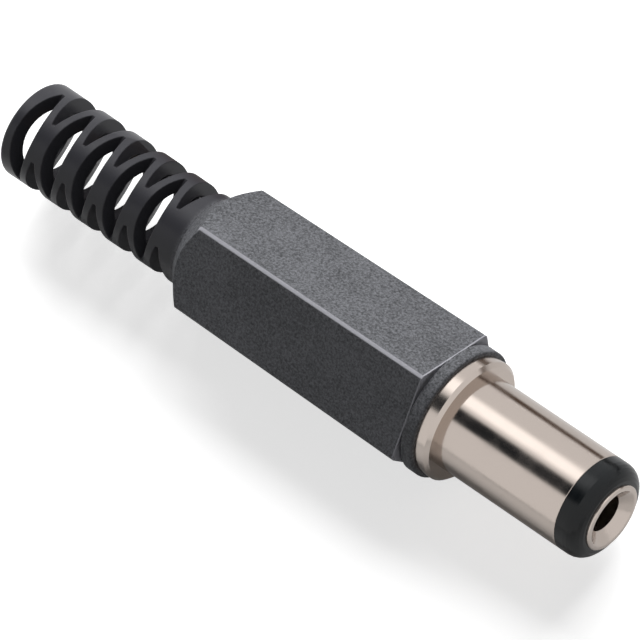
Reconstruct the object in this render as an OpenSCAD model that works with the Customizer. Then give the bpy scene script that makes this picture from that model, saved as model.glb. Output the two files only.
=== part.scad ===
// Straight DC power plug, 5.5 x 2.1 mm, with a screw-on handle.
// The axis is X: the barrel points along +X, the cable leaves along -X, and x = 0 is the
// front face of the flange. +Z is up, with the handle lying on one of its flats.
// All lengths are in millimetres.

/* [Barrel] */
// Outside diameter of the barrel
barrel_d = 5.5; // [5:0.1:6.2]
// Length from the flange to the tip of the plug
barrel_len = 9.5; // [8:0.5:12]
// Wall of the metal sleeve
sleeve_wall = 0.5; // [0.35:0.05:0.6]
// Break on the sleeve's front edge
sleeve_break = 0.06; // [0.02:0.02:0.12]

/* [Flange] */
// Diameter of the flange
flange_d = 7; // [6.8:0.1:7.3]
// Thickness of the flange
flange_t = 0.85; // [0.6:0.05:1.2]
// Bevel round the flange's front edge
flange_bevel = 0.2; // [0.1:0.05:0.3]

/* [Nose] */
// Length of black insulator that shows in front of the sleeve
nose_len = 1.4; // [1:0.05:2]
// How far the metal lip stands proud of the insulator
lip_proud = 0.15; // [0.05:0.05:0.3]
// Outside diameter of the metal lip
lip_d = 3.8; // [3.4:0.1:4.2]
// Depth of the metal lip, proud part included
lip_depth = 0.45; // [0.35:0.05:0.6]
// Rounding of the lip's two edges
lip_round = 0.1; // [0.04:0.02:0.12]

/* [Centre contact] */
// Bore that takes the jack's pin
bore_d = 2.1; // [1.7:0.1:2.3]
// Outside diameter of the contact tube
contact_d = 2.9; // [2.8:0.1:3.1]
// Diameter of the funnel at the mouth
mouth_d = 3.16; // [2.9:0.02:3.3]
// How far the bore runs on behind the flange's face
bore_behind = 1; // [0:0.25:2.5]
// Diameter of the solid pin behind the bore
pin_d = 2.2; // [2:0.1:2.4]
// Diameter of the riveted tail
tail_d = 1.5; // [1.2:0.1:1.7]
// Diameter of the rivet's head
rivet_d = 2.1; // [1.9:0.1:2.4]
// Height of the rivet's head
rivet_t = 0.25; // [0.15:0.05:0.4]

/* [Threaded shank] */
// Outside diameter of the thread
thread_d = 6; // [5.8:0.05:6.15]
// Length of the shank behind the flange
shank_len = 5.2; // [4:0.2:6]
// Width of the run-out groove behind the flange
runout_w = 0.4; // [0.2:0.1:0.6]
// Depth of the run-out groove
runout_depth = 0.3; // [0.1:0.05:0.4]
// Chamfer at the shank's rear end
shank_chamfer = 0.2; // [0.1:0.05:0.3]
// Thickness of the sleeve behind its inner shoulder
shoulder_len = 1.2; // [0.8:0.1:1.6]
// Bore through the sleeve's rear end
rear_bore_d = 3; // [2.9:0.05:3.1]
// Diameter of the spigot that carries the sleeve tag
spigot_d = 3.9; // [3.8:0.05:4]
// Diameter of the spigot's rolled rim
rim_d = 4.2; // [4.1:0.05:4.25]
// Length of the rolled rim
rim_len = 0.3; // [0.2:0.05:0.5]

/* [Rear washer] */
// Thickness of the washer's head
washer_t = 0.5; // [0.3:0.05:0.8]
// Diameter of the washer's head
washer_d = 4.2; // [4:0.05:4.25]
// Length of the thin collar in front of the sleeve's shoulder
washer_nose = 0.5; // [0.3:0.1:0.8]

/* [Solder tags] */
// Thickness of the tag metal
tag_t = 0.35; // [0.25:0.05:0.4]
// Diameter of the sleeve tag's ring
tag_ring_d = 5.3; // [5.1:0.05:5.35]
// Width of the sleeve tag's arm
arm_w = 1.6; // [1.2:0.1:1.8]
// Gap between the arm and the rolled rim
arm_gap = 0.05; // [0.03:0.01:0.08]
// Length of the arm from the shank to the end of the cable clamp
arm_len = 9.2; // [8.6:0.1:9.8]
// Length of the cable clamp
clamp_len = 3; // [2:0.25:4]
// Angle that the open clamp goes round the cable
clamp_angle = 220; // [180:10:240]
// Diameter of the centre tag's disc
disc_d = 3.4; // [3:0.1:3.8]
// Width of the centre tag's arm
centre_arm_w = 1.6; // [1.2:0.1:1.8]
// Length of the centre tag's arm
centre_arm_len = 4.6; // [3:0.2:6]
// Wire hole in each tag
wire_hole_d = 0.9; // [0.6:0.1:1]
// Distance from the wire hole to the end of the centre tag
wire_hole_edge = 1.2; // [0.9:0.1:1.4]

/* [Grip] */
// Number of flats on the grip
grip_sides = 5; // [5:1:6]
// Distance from the axis to a flat, at the front
flat_front = 3.43; // [3.41:0.01:3.6]
// Distance from the axis to a flat, at the rear
flat_rear = 3.3; // [3.24:0.02:3.4]
// How much the sharp corners are rounded off
corner_round = 0.07; // [0.03:0.01:0.15]
// Length of the grip along its corners
grip_len = 15.54; // [14.5:0.02:18]
// Diameter of the round ring in front of the grip
ring_d = 7.5; // [7.4:0.05:7.9]
// Length of the ring
ring_len = 0.68; // [0.5:0.02:1]
// Break on the ring's front edge
ring_break = 0.06; // [0.02:0.02:0.12]
// Width of the groove between the ring and the grip
groove_w = 0.18; // [0.1:0.02:0.3]
// Diameter at the bottom of the groove
groove_d = 6.76; // [6.7:0.02:6.8]
// Clearance round the thread, on the radius
thread_gap = 0.05; // [0.03:0.01:0.08]
// Spare length of the threaded bore behind the shank
thread_spare = 0.55; // [0.4:0.05:1]
// Diameter of the hollow for the solder tags
hollow_d = 5.7; // [5.4:0.05:5.8]
// Gap between the cable clamp and the end of the hollow
clamp_gap = 0.2; // [0.1:0.05:0.4]

/* [Bend relief] */
// Outside diameter where the bend relief leaves the grip
relief_front_d = 5.4; // [5.3:0.05:5.8]
// Outside diameter at its rear end
relief_rear_d = 5.6; // [5.4:0.05:6]
// Cable hole
cable_d = 4; // [3.6:0.1:4.2]
// Number of slotted levels
slot_levels = 10; // [4:2:12]
// Distance from one level to the next
slot_pitch = 1.13; // [1.1:0.005:1.25]
// Width of a slot at the surface
slot_mouth = 1.26; // [1:0.02:1.3]
// Width of a slot at its floor
slot_floor_w = 0.2; // [0.1:0.02:0.3]
// Height of a slot's floor above the axis, which is half a web's height
web_half = 1.14; // [0.9:0.02:1.3]
// Length of the plain collar between the grip and the first slot
collar_len = 0.61; // [0.4:0.01:1.2]
// Length of the end ring
end_ring_len = 0.6; // [0.5:0.05:1.2]
// Rounding of the end ring
end_round = 0.2; // [0.1:0.05:0.3]

/* [Hidden] */
$fn = 96;
spill = 1;          // how far a cutter runs past what it cuts
arc_steps = 6;      // steps in a quarter round

// Stations along the axis, from the tip to the rear
nose_front = barrel_len - lip_proud;
sleeve_front = nose_front - nose_len;
lip_back = barrel_len - lip_depth;
flange_back = -flange_t;
shank_end = flange_back - shank_len;
shoulder_x = shank_end + shoulder_len;
rim_x = shank_end - tag_t;
spigot_end = rim_x - rim_len;
washer_end = spigot_end - washer_t;
tail_end = washer_end - tag_t;
clamp_end = shank_end - arm_len;
ring_back = flange_back - ring_len;
grip_front = ring_back - groove_w;
corner_end = grip_front - grip_len;

// Radii
barrel_r = barrel_d / 2;
sleeve_bore_r = barrel_r - sleeve_wall;
thread_r = thread_d / 2;
lip_r = lip_d / 2;
nose_round = barrel_r - lip_r;
front_corner_r = flat_front / cos(180 / grip_sides) - corner_round;
rear_corner_r = flat_rear / cos(180 / grip_sides) - corner_round;
relief_front_r = relief_front_d / 2;
relief_rear_r = relief_rear_d / 2;
cable_r = cable_d / 2;
hollow_r = hollow_d / 2;
threaded_bore_r = thread_r + thread_gap;

// The grip's rear end is a 45 degree cone down to the bend relief
relief_front = corner_end - (rear_corner_r - relief_front_r);
first_slot = relief_front - collar_len - slot_mouth / 2;
relief_end = first_slot - (slot_levels - 1) * slot_pitch - slot_mouth / 2 - end_ring_len;
// The slots of every other level lie square to one flat of the grip
relief_turn = 90 - 360 / grip_sides;
hollow_end = clamp_end - clamp_gap;
draft = atan((flat_front - flat_rear) / grip_len);

arm_top = rim_d / 2 + arm_gap;
clamp_r = arm_top;

// Points of a quarter circle in the (radius, x) plane, from angle a0 to a1
function quarter(r, x, radius, a0, a1) =
    [for (i = [0:arc_steps]) let (a = a0 + (a1 - a0) * i / arc_steps)
        [r + radius * cos(a), x + radius * sin(a)]];

// A solid of revolution about X, from a profile of [radius, x] points
module turned(profile)
    rotate([0, 90, 0])
        rotate_extrude()
            polygon(profile);

// A round bar along X
module bar(x0, x1, r)
    translate([x0, 0, 0])
        rotate([0, 90, 0])
            cylinder(h = x1 - x0, r = r);

// Outside of the handle before its flats are cut
module handle_blank()
    turned(concat(
        [[0, flange_back],
         [ring_d / 2 - ring_break, flange_back],
         [ring_d / 2, flange_back - ring_break],
         [ring_d / 2, ring_back],
         [groove_d / 2, ring_back],
         [groove_d / 2, grip_front],
         [front_corner_r, grip_front],
         [rear_corner_r, corner_end],
         [relief_front_r, relief_front]],
        quarter(relief_rear_r - end_round, relief_end + end_round, end_round, 0, -90),
        [[0, relief_end]]));

// One flat of the grip, leaning in towards the rear with the draft of the mould
module flat_cutter()
    translate([grip_front, 0, flat_front])
        rotate([0, -draft, 0])
            translate([-grip_len - 2 * spill, -hollow_d, 0])
                cube([grip_len + 2 * spill + groove_w / 2, 2 * hollow_d, flat_front]);

// The bore: clear of the thread, wide round the tags, then down to the cable hole
module handle_bore()
    turned([
        [0, flange_back + spill],
        [threaded_bore_r, flange_back + spill],
        [threaded_bore_r, shank_end - thread_spare],
        [hollow_r, shank_end - thread_spare],
        [hollow_r, hollow_end],
        [cable_r, hollow_end - (hollow_r - cable_r)],
        [cable_r, relief_end - spill],
        [0, relief_end - spill]]);

// A pair of wedge slots from opposite sides, with a web left between their floors
module slot_pair() {
    half_mouth = slot_mouth / 2;
    half_floor = slot_floor_w / 2;
    slope = (half_mouth - half_floor) / (relief_rear_r - web_half);
    top = relief_rear_r + spill;
    half_top = half_floor + slope * (top - web_half);
    for (side = [0, 1])
        mirror([0, 0, side])
            rotate([90, 0, 0])
                translate([0, 0, -top])
                    linear_extrude(height = 2 * top)
                        polygon([[-half_floor, web_half], [half_floor, web_half],
                                 [half_top, top], [-half_top, top]]);
}

// One moulding: ring, five-sided grip and slotted bend relief
module handle()
    color([0.09, 0.09, 0.1])
        difference() {
            handle_blank();
            for (i = [0:grip_sides - 1])
                rotate([(i + 0.5) * 360 / grip_sides, 0, 0])
                    flat_cutter();
            handle_bore();
            for (level = [0:slot_levels - 1])
                translate([first_slot - level * slot_pitch, 0, 0])
                    rotate([relief_turn + ((slot_levels - 1 - level) % 2) * 90, 0, 0])
                        slot_pair();
        }

// Turned sleeve: barrel, flange, threaded shank and the spigot for its solder tag
module sleeve_contact()
    color([0.8, 0.77, 0.73])
        turned([
            [sleeve_bore_r, sleeve_front],
            [barrel_r - sleeve_break, sleeve_front],
            [barrel_r, sleeve_front - sleeve_break],
            [barrel_r, 0],
            [flange_d / 2 - flange_bevel, 0],
            [flange_d / 2, -flange_bevel],
            [flange_d / 2, flange_back],
            [thread_r - runout_depth, flange_back],
            [thread_r - runout_depth, flange_back - runout_w],
            [thread_r, flange_back - runout_w - runout_depth],
            [thread_r, shank_end + shank_chamfer],
            [thread_r - shank_chamfer, shank_end],
            [spigot_d / 2, shank_end],
            [spigot_d / 2, rim_x],
            [rim_d / 2, rim_x],
            [rim_d / 2, spigot_end],
            [rear_bore_d / 2, spigot_end],
            [rear_bore_d / 2, shoulder_x],
            [sleeve_bore_r, shoulder_x]]);

// Black bush between the sleeve and the centre contact, with the rounded nose
module nose_insulator()
    color([0.05, 0.05, 0.06])
        turned(concat(
            [[contact_d / 2, shoulder_x],
             [sleeve_bore_r, shoulder_x],
             [sleeve_bore_r, sleeve_front],
             [barrel_r, sleeve_front]],
            quarter(lip_r, nose_front - nose_round, nose_round, 0, 90),
            [[lip_r, lip_back],
             [contact_d / 2, lip_back]]));

// Turned centre contact: flared lip, funnel, bore, solid pin and riveted tail
module centre_contact()
    color([0.8, 0.77, 0.73])
        turned(concat(
            [[0, tail_end - rivet_t],
             [rivet_d / 2 - rivet_t / 2, tail_end - rivet_t],
             [rivet_d / 2, tail_end - rivet_t / 2],
             [rivet_d / 2, tail_end],
             [tail_d / 2, tail_end],
             [tail_d / 2, washer_end],
             [pin_d / 2, washer_end],
             [pin_d / 2, shoulder_x + washer_nose],
             [contact_d / 2, shoulder_x + washer_nose],
             [contact_d / 2, lip_back],
             [lip_r, lip_back]],
            quarter(lip_r - lip_round, barrel_len - lip_round, lip_round, 0, 90),
            quarter(mouth_d / 2 + lip_round, barrel_len - lip_round, lip_round, 90, 135),
            [[bore_d / 2, barrel_len - (mouth_d - bore_d) / 2],
             [bore_d / 2, -bore_behind],
             [0, -bore_behind - bore_d / 4]]));

// Insulating bush that carries the centre contact's pin through the sleeve's rear end
module rear_washer()
    color([0.55, 0.35, 0.2])
        turned([
            [pin_d / 2, shoulder_x + washer_nose],
            [contact_d / 2, shoulder_x + washer_nose],
            [contact_d / 2, shoulder_x],
            [rear_bore_d / 2, shoulder_x],
            [rear_bore_d / 2, spigot_end],
            [washer_d / 2, spigot_end],
            [washer_d / 2, washer_end],
            [pin_d / 2, washer_end]]);

// Pressed tag on the sleeve's spigot: a ring, an arm with a wire hole, and an open cable clamp
module sleeve_tag()
    color([0.78, 0.74, 0.66])
        difference() {
            union() {
                difference() {
                    bar(rim_x, shank_end, tag_ring_d / 2);
                    bar(rim_x - spill, shank_end + spill, spigot_d / 2);
                }
                translate([clamp_end, -arm_w / 2, -arm_top - tag_t])
                    cube([arm_len, arm_w, tag_t]);
                translate([clamp_end, 0, 0])
                    rotate([0, 90, 0])
                        rotate_extrude(angle = clamp_angle, start = -clamp_angle / 2)
                            translate([clamp_r, 0])
                                square([tag_t, clamp_len]);
            }
            translate([(shank_end + clamp_end + clamp_len) / 2, 0, -arm_top - tag_t - spill])
                cylinder(h = tag_t + 2 * spill, d = wire_hole_d);
        }

// Pressed tag riveted to the centre contact: a disc and an arm with a wire hole
module centre_tag() {
    arm_z = disc_d / 2 - tag_t;
    arm_end = tail_end - centre_arm_len;
    color([0.78, 0.74, 0.66])
        difference() {
            union() {
                intersection() {
                    bar(tail_end, washer_end, disc_d / 2);
                    translate([tail_end, -disc_d / 2, -disc_d / 2])
                        cube([tag_t, disc_d, disc_d / 2 + arm_z + tag_t]);
                }
                translate([arm_end, -centre_arm_w / 2, arm_z - tag_t])
                    cube([washer_end - arm_end, centre_arm_w, tag_t]);
            }
            bar(tail_end - spill, washer_end + spill, tail_d / 2);
            translate([arm_end + wire_hole_edge, 0, arm_z - tag_t - spill])
                cylinder(h = tag_t + 2 * spill, d = wire_hole_d);
        }
}

handle();
sleeve_contact();
nose_insulator();
centre_contact();
rear_washer();
sleeve_tag();
centre_tag();
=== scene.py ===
import math

import bpy
from mathutils import Matrix, Vector


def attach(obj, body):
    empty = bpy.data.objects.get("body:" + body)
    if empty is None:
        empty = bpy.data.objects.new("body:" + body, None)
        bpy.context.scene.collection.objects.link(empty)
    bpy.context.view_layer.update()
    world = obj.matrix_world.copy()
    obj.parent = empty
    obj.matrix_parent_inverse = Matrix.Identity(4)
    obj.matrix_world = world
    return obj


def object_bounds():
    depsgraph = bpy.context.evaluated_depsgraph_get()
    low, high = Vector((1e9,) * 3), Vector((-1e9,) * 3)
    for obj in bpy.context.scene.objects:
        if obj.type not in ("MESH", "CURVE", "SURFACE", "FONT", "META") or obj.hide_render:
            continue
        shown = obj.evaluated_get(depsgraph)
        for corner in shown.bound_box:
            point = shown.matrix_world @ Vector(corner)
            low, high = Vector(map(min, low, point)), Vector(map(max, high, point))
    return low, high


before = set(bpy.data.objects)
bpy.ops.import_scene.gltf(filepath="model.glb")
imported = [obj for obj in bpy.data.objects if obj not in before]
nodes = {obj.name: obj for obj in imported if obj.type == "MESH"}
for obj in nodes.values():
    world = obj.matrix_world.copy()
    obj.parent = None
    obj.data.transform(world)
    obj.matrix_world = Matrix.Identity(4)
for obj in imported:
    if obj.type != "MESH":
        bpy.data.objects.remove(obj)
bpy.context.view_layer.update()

# ---- Turned sleeve ----
# Barrel, flange and threaded shank are one brass turning. It is nickel plated in a barrel,
# which leaves it bright and slightly warm, with faint tool rings across it.


def linear(hex_colour):
    """An sRGB colour such as "c8beb4" as the four linear numbers a socket takes."""
    parts = [int(hex_colour[i:i + 2], 16) / 255 for i in (0, 2, 4)]
    return [c / 12.92 if c <= 0.04045 else ((c + 0.055) / 1.055) ** 2.4 for c in parts] + [1]


def add_node(tree, kind, inputs=None, **settings):
    """Adds a node. Each input is given a value or linked to the socket it names."""
    made = tree.nodes.new(kind)
    for name, value in settings.items():
        setattr(made, name, value)
    for name, value in (inputs or {}).items():
        if isinstance(value, bpy.types.NodeSocket):
            tree.links.new(value, made.inputs[name])
        else:
            made.inputs[name].default_value = value
    return made


def start_material(name):
    """A new material, empty but for the object coordinates its patterns read."""
    material = bpy.data.materials.new(name)
    material.use_nodes = True
    tree = material.node_tree
    tree.nodes.clear()
    place = add_node(tree, "ShaderNodeTexCoord").outputs["Object"]
    return material, tree, place


def finish_material(material, tree, shader):
    """Links the shader to the surface and returns the material."""
    add_node(tree, "ShaderNodeOutputMaterial", {"Surface": shader.outputs[0]})
    return material


def paint(piece, material):
    """Gives the piece this one material."""
    piece.data.materials.clear()
    piece.data.materials.append(material)


MM = 0.001
tool_ring_width = 0.09 * MM     # real feed marks are finer than can be drawn, so these are coarser


def bright_nickel():
    """Bright nickel plate on turned brass: a warm mirror, barely broken by the tool's rings."""
    material, tree, place = start_material("bright_nickel_on_turned_brass")
    across = add_node(tree, "ShaderNodeSeparateXYZ", {0: place})
    rings = add_node(tree, "ShaderNodeTexNoise",
                     {"W": add_node(tree, "ShaderNodeMath", {0: across.outputs["X"], 1: 1 / tool_ring_width},
                                    operation="MULTIPLY").outputs[0],
                      "Scale": 1.0, "Detail": 1.0},
                     noise_dimensions="1D")
    haze = add_node(tree, "ShaderNodeTexNoise", {"Vector": place, "Scale": 1 / (1.6 * MM), "Detail": 3.0})
    roughness = add_node(tree, "ShaderNodeMapRange",
                         {"Value": haze.outputs["Fac"], "From Min": 0.35, "From Max": 0.7,
                          "To Min": 0.13, "To Max": 0.22})
    bump = add_node(tree, "ShaderNodeBump",
                    {"Height": rings.outputs["Fac"], "Strength": 0.12, "Distance": 0.004 * MM})
    shader = add_node(tree, "ShaderNodeBsdfPrincipled",
                      {"Base Color": linear("c0b5ad"), "Metallic": 1.0,
                       "Roughness": roughness.outputs[0], "Normal": bump.outputs[0]})
    return finish_material(material, tree, shader)


nickel = bright_nickel()
paint(nodes["sleeve_contact"], nickel)

# The thread's ridge: a low triangle wound round the shank, just inside the handle's bore
thread_front, thread_pitch, thread_turns = -1.6 * MM, 0.6 * MM, 7
ridge_foot, ridge_top, ridge_width = 2.97 * MM, 3.04 * MM, 0.4 * MM
triangle_r = (ridge_top - ridge_foot) / 1.5         # an even triangle is 1.5 radii high
triangle_width = math.sqrt(3) * triangle_r
middle = (thread_front, 0, ridge_top - triangle_r)
bpy.ops.object.select_all(action="DESELECT")
bpy.ops.mesh.primitive_circle_add(vertices=3, radius=triangle_r, location=middle,
                                  rotation=(math.pi / 2, 0, 0))
thread = bpy.context.object
thread.name = "thread_ridge"
bpy.ops.object.transform_apply(location=True, rotation=True, scale=True)
bpy.ops.object.mode_set(mode="EDIT")
bpy.ops.mesh.select_all(action="SELECT")
bpy.ops.transform.resize(value=(ridge_width / triangle_width, 1, 1), center_override=middle)
bpy.ops.object.mode_set(mode="OBJECT")
winding = thread.modifiers.new("winding", "SCREW")
winding.axis = "X"
winding.steps = winding.render_steps = 64
winding.iterations = thread_turns
winding.screw_offset = -thread_pitch
winding.use_merge_vertices = False
bpy.ops.object.modifier_apply(modifier="winding")
bpy.ops.object.mode_set(mode="EDIT")
bpy.ops.mesh.select_all(action="SELECT")
bpy.ops.mesh.fill_holes(sides=3)
bpy.ops.mesh.normals_make_consistent(inside=False)
bpy.ops.object.mode_set(mode="OBJECT")
paint(thread, nickel)
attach(thread, "contacts")

# ---- Nose ----
# The black bush between sleeve and centre contact is moulded acetal, pressed in from the front.
# Its rounded nose is glossy, as moulded.


def glossy_acetal():
    """Moulded acetal: deep black with a soft gloss that follows the rounding."""
    material, tree, place = start_material("glossy_moulded_acetal")
    cloud = add_node(tree, "ShaderNodeTexNoise", {"Vector": place, "Scale": 1 / (0.5 * MM), "Detail": 4.0})
    roughness = add_node(tree, "ShaderNodeMapRange",
                         {"Value": cloud.outputs["Fac"], "From Min": 0.3, "From Max": 0.7,
                          "To Min": 0.16, "To Max": 0.26})
    bump = add_node(tree, "ShaderNodeBump",
                    {"Height": cloud.outputs["Fac"], "Strength": 0.1, "Distance": 0.01 * MM})
    shader = add_node(tree, "ShaderNodeBsdfPrincipled",
                      {"Base Color": linear("0e1113"), "IOR": 1.48, "Specular IOR Level": 0.3,
                       "Roughness": roughness.outputs[0], "Normal": bump.outputs[0]})
    return finish_material(material, tree, shader)


paint(nodes["nose_insulator"], glossy_acetal())

# ---- Centre contact ----
# The centre contact is turned from brass and plated as the sleeve is. It is pressed into the
# nose's bush, and its lip is flared over the front of it.

paint(nodes["centre_contact"], nickel)

# ---- Rear washer ----
# A brown washer of pressed fibre keeps the centre contact's pin clear of the sleeve. The
# contact's tail is riveted over it, which holds the stack together.


def pressed_fibre():
    """Pressed fibre board: dull brown, flecked along its fibres."""
    material, tree, place = start_material("pressed_fibre")
    fleck = add_node(tree, "ShaderNodeTexNoise", {"Vector": place, "Scale": 1 / (0.15 * MM), "Detail": 5.0})
    tone = add_node(tree, "ShaderNodeMix",
                    {"Factor": fleck.outputs["Fac"], 6: linear("6e4424"), 7: linear("a0693c")},
                    data_type="RGBA")
    bump = add_node(tree, "ShaderNodeBump",
                    {"Height": fleck.outputs["Fac"], "Strength": 0.4, "Distance": 0.02 * MM})
    shader = add_node(tree, "ShaderNodeBsdfPrincipled",
                      {"Base Color": tone.outputs[2], "Roughness": 0.7, "Normal": bump.outputs[0]})
    return finish_material(material, tree, shader)


paint(nodes["rear_washer"], pressed_fibre())

# ---- Solder tags ----
# Both tags are pressed from brass sheet and tinned. One is rolled onto the sleeve's spigot and
# carries the cable clamp, the other is riveted to the centre contact.


def tinned_sheet():
    """Hot-tinned brass sheet: pale, satin, with slow runs where the tin froze."""
    material, tree, place = start_material("tinned_brass_sheet")
    runs = add_node(tree, "ShaderNodeTexNoise", {"Vector": place, "Scale": 1 / (0.8 * MM), "Detail": 4.0})
    roughness = add_node(tree, "ShaderNodeMapRange",
                         {"Value": runs.outputs["Fac"], "From Min": 0.3, "From Max": 0.7,
                          "To Min": 0.22, "To Max": 0.42})
    bump = add_node(tree, "ShaderNodeBump",
                    {"Height": runs.outputs["Fac"], "Strength": 0.3, "Distance": 0.02 * MM})
    shader = add_node(tree, "ShaderNodeBsdfPrincipled",
                      {"Base Color": linear("d8d2c4"), "Metallic": 1.0,
                       "Roughness": roughness.outputs[0], "Normal": bump.outputs[0]})
    return finish_material(material, tree, shader)


tinned = tinned_sheet()
paint(nodes["sleeve_tag"], tinned)
paint(nodes["centre_tag"], tinned)

# ---- Handle ----
# The handle is one black moulding. The grip comes from a spark-eroded mould, so it is a fine
# matte grey-black; the slotted bend relief was polished in the mould and is darker and glossier.

grain = 0.13 * MM
edge_highlight_width = 0.2 * MM           # painted highlight along the top corner
edge_highlight_ragged = 0.05 * MM         # how far its edges wander
corner_height = 3.8 * MM        # only the top corner stands higher than this
grip_front = -1.71 * MM         # front ends of the flats
front_highlight_width = 0.08 * MM          # painted highlight along them
short_of_ring = 0.1 * MM        # nothing in front of this, past the flats, gets the painted highlight
relief_shiny, grip_matte = -18.9 * MM, -18.3 * MM   # the finish changes between these
patch_share = 0.2               # how much slow patches count beside the fine speckle


def painted_edge_highlight(tree, place, speckle):
    """1 on the grip's top corner and along the front ends of its flats, where a lighter line is painted in as
    the highlight these edges catch.
    """
    split = add_node(tree, "ShaderNodeSeparateXYZ", {0: place}).outputs
    ragged = add_node(tree, "ShaderNodeMapRange",
                      {"Value": speckle, "To Min": -edge_highlight_ragged, "To Max": edge_highlight_ragged}).outputs[0]
    off_corner = add_node(tree, "ShaderNodeMath", {0: split["Y"]}, operation="ABSOLUTE").outputs[0]
    off_corner = add_node(tree, "ShaderNodeMath", {0: off_corner, 1: ragged}, operation="ADD").outputs[0]
    corner = add_node(tree, "ShaderNodeMapRange",
                      {"Value": off_corner, "From Min": edge_highlight_width * 0.65,
                       "From Max": edge_highlight_width * 0.35}).outputs[0]
    high = add_node(tree, "ShaderNodeMath", {0: split["Z"], 1: corner_height},
                    operation="GREATER_THAN").outputs[0]
    corner = add_node(tree, "ShaderNodeMath", {0: corner, 1: high}, operation="MULTIPLY").outputs[0]
    front = add_node(tree, "ShaderNodeMapRange",
                     {"Value": split["X"], "From Min": grip_front - front_highlight_width * 1.375,
                      "From Max": grip_front - front_highlight_width * 0.625}).outputs[0]
    behind_ring = add_node(tree, "ShaderNodeMath", {0: split["X"], 1: grip_front + short_of_ring},
                           operation="LESS_THAN").outputs[0]
    front = add_node(tree, "ShaderNodeMath", {0: front, 1: behind_ring}, operation="MULTIPLY").outputs[0]
    return add_node(tree, "ShaderNodeMath", {0: corner, 1: front}, operation="MAXIMUM").outputs[0]


def black_moulding():
    """Moulded soft plastic: matte and speckled on the grip, smooth and darker on the relief."""
    material, tree, place = start_material("spark_eroded_black_moulding")
    along = add_node(tree, "ShaderNodeSeparateXYZ", {0: place}).outputs["X"]
    on_grip = add_node(tree, "ShaderNodeMapRange",
                       {"Value": along, "From Min": relief_shiny, "From Max": grip_matte},
                       interpolation_type="SMOOTHSTEP").outputs[0]
    speckle = add_node(tree, "ShaderNodeTexNoise",
                       {"Vector": place, "Scale": 1 / grain, "Detail": 3.0, "Roughness": 0.7}).outputs["Fac"]
    patch = add_node(tree, "ShaderNodeTexNoise", {"Vector": place, "Scale": 1 / (3 * MM), "Detail": 3.0})
    mixed = add_node(tree, "ShaderNodeMath",
                     {0: patch.outputs["Fac"], 1: patch_share, 2: speckle},
                     operation="MULTIPLY_ADD").outputs[0]
    level = add_node(tree, "ShaderNodeMapRange",
                     {"Value": mixed, "From Min": 0.45, "From Max": 0.75}).outputs[0]
    grip_tone = add_node(tree, "ShaderNodeMix", {"Factor": level, 6: linear("343537"), 7: linear("67686c")},
                         data_type="RGBA").outputs[2]
    # painted highlight: the top corner and the flats' front ends are turned light grey (98989e)
    highlighted_tone = add_node(tree, "ShaderNodeMix",
                         {"Factor": painted_edge_highlight(tree, place, speckle), 6: grip_tone, 7: linear("98989e")},
                         data_type="RGBA").outputs[2]
    tone = add_node(tree, "ShaderNodeMix", {"Factor": on_grip, 6: linear("313135"), 7: highlighted_tone},
                    data_type="RGBA").outputs[2]
    roughness = add_node(tree, "ShaderNodeMapRange",
                         {"Value": on_grip, "To Min": 0.3, "To Max": 0.55}).outputs[0]
    depth = add_node(tree, "ShaderNodeMapRange", {"Value": on_grip, "To Min": 0.15, "To Max": 1.0}).outputs[0]
    height = add_node(tree, "ShaderNodeMath", {0: speckle, 1: depth}, operation="MULTIPLY").outputs[0]
    soft_edge = add_node(tree, "ShaderNodeBevel", {"Radius": 0.1 * MM}, samples=6)
    bump = add_node(tree, "ShaderNodeBump",
                    {"Height": height, "Strength": 0.6, "Distance": 0.03 * MM,
                     "Normal": soft_edge.outputs[0]})
    shader = add_node(tree, "ShaderNodeBsdfPrincipled",
                      {"Base Color": tone, "Roughness": roughness, "IOR": 1.5, "Specular IOR Level": 0.22,
                       "Normal": bump.outputs[0]})
    return finish_material(material, tree, shader)


paint(nodes["handle"], black_moulding())

# ---- Table and light ----
# The plug lies on a white table under one large soft box. What the plating mirrors is set apart
# from that light: a bright strip, a dark card over the plug and a brown strip behind it.

low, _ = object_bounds()
table_top, table_side = low.z, 0.8


def seen_white(tree):
    """1 for rays that should find plain white: from the camera, off gloss or through glass."""
    path = add_node(tree, "ShaderNodeLightPath")
    either = add_node(tree, "ShaderNodeMath",
                      {0: path.outputs["Is Camera Ray"], 1: path.outputs["Is Glossy Ray"]},
                      operation="MAXIMUM").outputs[0]
    return add_node(tree, "ShaderNodeMath", {0: either, 1: path.outputs["Is Transmission Ray"]},
                    operation="MAXIMUM").outputs[0]


bpy.ops.object.select_all(action="DESELECT")
bpy.ops.mesh.primitive_plane_add(size=table_side, location=(0, 0, table_top))
table = bpy.context.object
table.name = "table"
material, tree, _ = start_material("white_table")
camera_ray = add_node(tree, "ShaderNodeLightPath").outputs["Is Camera Ray"]
lift = add_node(tree, "ShaderNodeMapRange",
                {"Value": camera_ray, "To Min": 0.05, "To Max": 0.66}).outputs[0]
matte = add_node(tree, "ShaderNodeBsdfDiffuse", {"Color": (0.7, 0.7, 0.7, 1)})
glow = add_node(tree, "ShaderNodeEmission", {"Color": (1, 1, 1, 1), "Strength": lift})
both = add_node(tree, "ShaderNodeAddShader", {0: matte.outputs[0], 1: glow.outputs[0]})
paint(table, finish_material(material, tree, both))

world = bpy.data.worlds.new("studio")
world.use_nodes = True
world.node_tree.nodes.clear()
sky_level = add_node(world.node_tree, "ShaderNodeMapRange",
                     {"Value": seen_white(world.node_tree), "To Min": 0.12, "To Max": 1.0}).outputs[0]
sky = add_node(world.node_tree, "ShaderNodeBackground", {"Color": (1, 1, 1, 1), "Strength": sky_level})
add_node(world.node_tree, "ShaderNodeOutputWorld", {"Surface": sky.outputs[0]})
bpy.context.scene.world = world


def round_the_axis(azimuth, lean, distance):
    """A point at this angle round the plug's axis from +Y, leaning this share towards +X."""
    turn, side = math.radians(azimuth), math.sqrt(1 - lean * lean)
    return distance * Vector((lean, side * math.cos(turn), side * math.sin(turn)))


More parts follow.
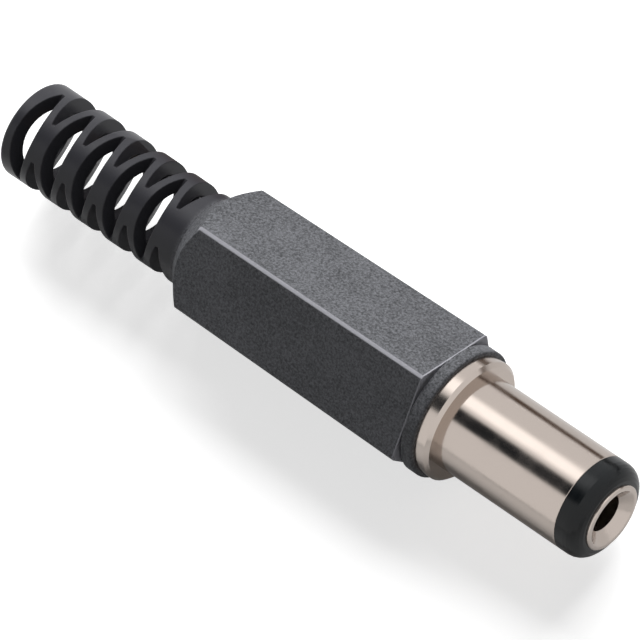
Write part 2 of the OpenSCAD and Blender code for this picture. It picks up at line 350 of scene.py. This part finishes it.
def aim(thing, place):
    """Puts the thing there, facing the plug, with its own X along the plug."""
    back = place.normalized()
    across = back.cross(Vector((1, 0, 0))).normalized()
    along = across.cross(back)
    thing.matrix_world = Matrix.Translation(place) @ Matrix((along, across, back)).transposed().to_4x4()


def soft_box(name, azimuth, lean, distance, along, across, level):
    """A rectangular area lamp whose face has this radiance."""
    lamp = bpy.data.lights.new(name, "AREA")
    lamp.shape = "RECTANGLE"
    lamp.size, lamp.size_y = along, across
    lamp.energy = math.pi * along * across * level
    box = bpy.data.objects.new(name, lamp)
    bpy.context.collection.objects.link(box)
    aim(box, round_the_axis(azimuth, lean, distance))
    return box


def reflected_card(name, azimuth, lean, distance, along, across, colour, strength, soft):
    """A card that only shows in reflections, fading out over this share of its half width."""
    bpy.ops.object.select_all(action="DESELECT")
    bpy.ops.mesh.primitive_plane_add(size=1)
    card = bpy.context.object
    card.name = name
    card.data.transform(Matrix.Diagonal((along, across, 1, 1)))
    aim(card, round_the_axis(azimuth, lean, distance))
    material, tree, place = start_material(name + "_face")
    split = add_node(tree, "ShaderNodeSeparateXYZ", {0: place}).outputs
    off_middle = add_node(tree, "ShaderNodeMath", {0: split["Y"]}, operation="ABSOLUTE").outputs[0]
    solid = add_node(tree, "ShaderNodeMapRange",
                     {"Value": off_middle, "From Min": across / 2, "From Max": across / 2 * (1 - soft)},
                     interpolation_type="SMOOTHSTEP").outputs[0]
    clear = add_node(tree, "ShaderNodeBsdfTransparent")
    glow = add_node(tree, "ShaderNodeEmission", {"Color": colour, "Strength": strength})
    faded = add_node(tree, "ShaderNodeMixShader", {0: solid, 1: clear.outputs[0], 2: glow.outputs[0]})
    paint(card, finish_material(material, tree, faded))
    card.visible_camera = card.visible_diffuse = card.visible_shadow = False


key = soft_box("key_box", azimuth=38, lean=-0.3, distance=0.6, along=0.7, across=0.42, level=8.0)
key.visible_glossy = False      # the bright strip stands in for it where the plating mirrors
reflected_card("bright_strip", azimuth=61, lean=-0.46, distance=1.0, along=1.2, across=0.66,
               colour=linear("ffffff"), strength=2.0, soft=0.7)
reflected_card("dark_card", azimuth=99, lean=-0.46, distance=0.9, along=0.8, across=0.56,
               colour=linear("23262a"), strength=1.0, soft=0.45)
reflected_card("brown_strip", azimuth=-2.9, lean=-0.463, distance=13.55 * MM, along=60 * MM,
               across=6.2 * MM, colour=linear("5c4a3e"), strength=1.0, soft=0.8)

# ---- Camera ----
# The camera has a long lens and stands close by, above the barrel's end. The plug runs down
# across the picture from the bend relief to the tip.

view_lean = math.radians(27.566)      # how far the line of sight leans towards the tip
view_turn = math.radians(96.97)       # its angle round the plug's axis from +Y
view_roll = math.radians(34.068)      # how far the plug slopes down in the picture
distance = 300 * MM
forward_shift, side_shift = 9.372 * MM, 0.022 * MM

c, s = math.cos(view_lean), math.sin(view_lean)
along_plug = Vector((c, -s * math.cos(view_turn), -s * math.sin(view_turn)))
across_plug = Vector((0, -math.sin(view_turn), math.cos(view_turn)))
towards_camera = Vector((s, c * math.cos(view_turn), c * math.sin(view_turn)))
right = math.cos(view_roll) * along_plug - math.sin(view_roll) * across_plug
up = -(math.sin(view_roll) * along_plug + math.cos(view_roll) * across_plug)
lens = bpy.data.cameras.new("camera")
lens.sensor_width = 36
lens.lens = 331.09
lens.clip_start, lens.clip_end = 0.01, 10
camera = bpy.data.objects.new("camera", lens)
bpy.context.collection.objects.link(camera)
place = distance * towards_camera - forward_shift * along_plug - side_shift * across_plug
camera.matrix_world = (Matrix.Translation(place)
                       @ Matrix((right, up, towards_camera)).transposed().to_4x4())
bpy.context.scene.camera = camera
bpy.context.scene.view_settings.view_transform = "Standard"
